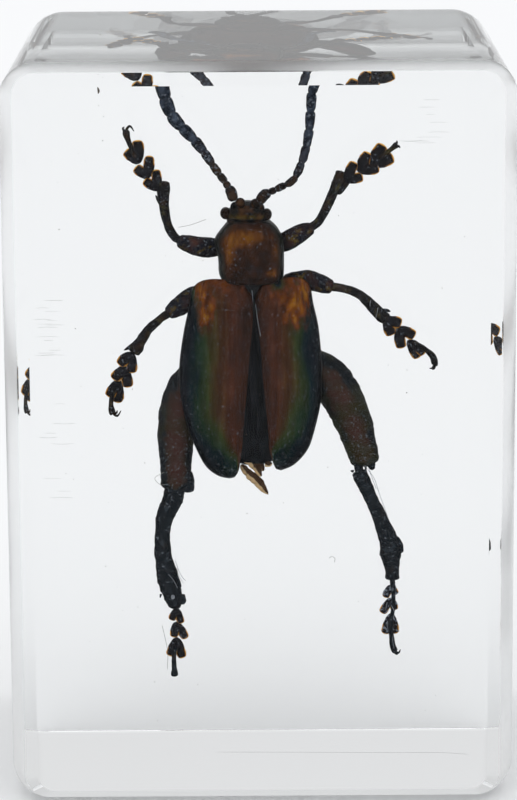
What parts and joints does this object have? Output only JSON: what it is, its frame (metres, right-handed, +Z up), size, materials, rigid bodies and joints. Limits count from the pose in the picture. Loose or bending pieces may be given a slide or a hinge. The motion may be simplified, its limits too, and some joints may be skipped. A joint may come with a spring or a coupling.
{
  "type": "insect in resin block",
  "caption": "Upright clear resin block with rounded edges and a leaf beetle sealed inside, legs spread, back to the front.",
  "frame": {"origin": "middle of the face that the block stands on", "axes": "+X across the block, +Y from its front face to its back face, +Z up along its long side"},
  "size_m": [0.03, 0.0216, 0.0445],
  "materials": {
    "clear_resin": "polished clear cast resin, slightly grey, see-through",
    "beetle_shell": "metallic chitin, bronze brown with green, gold and blue-black bands",
    "beetle_legs": "glossy near-black chitin with amber edges"
  },
  "bodies": {
    "root": {"resin_block": "clear_resin"}
  },
  "joints": []
}
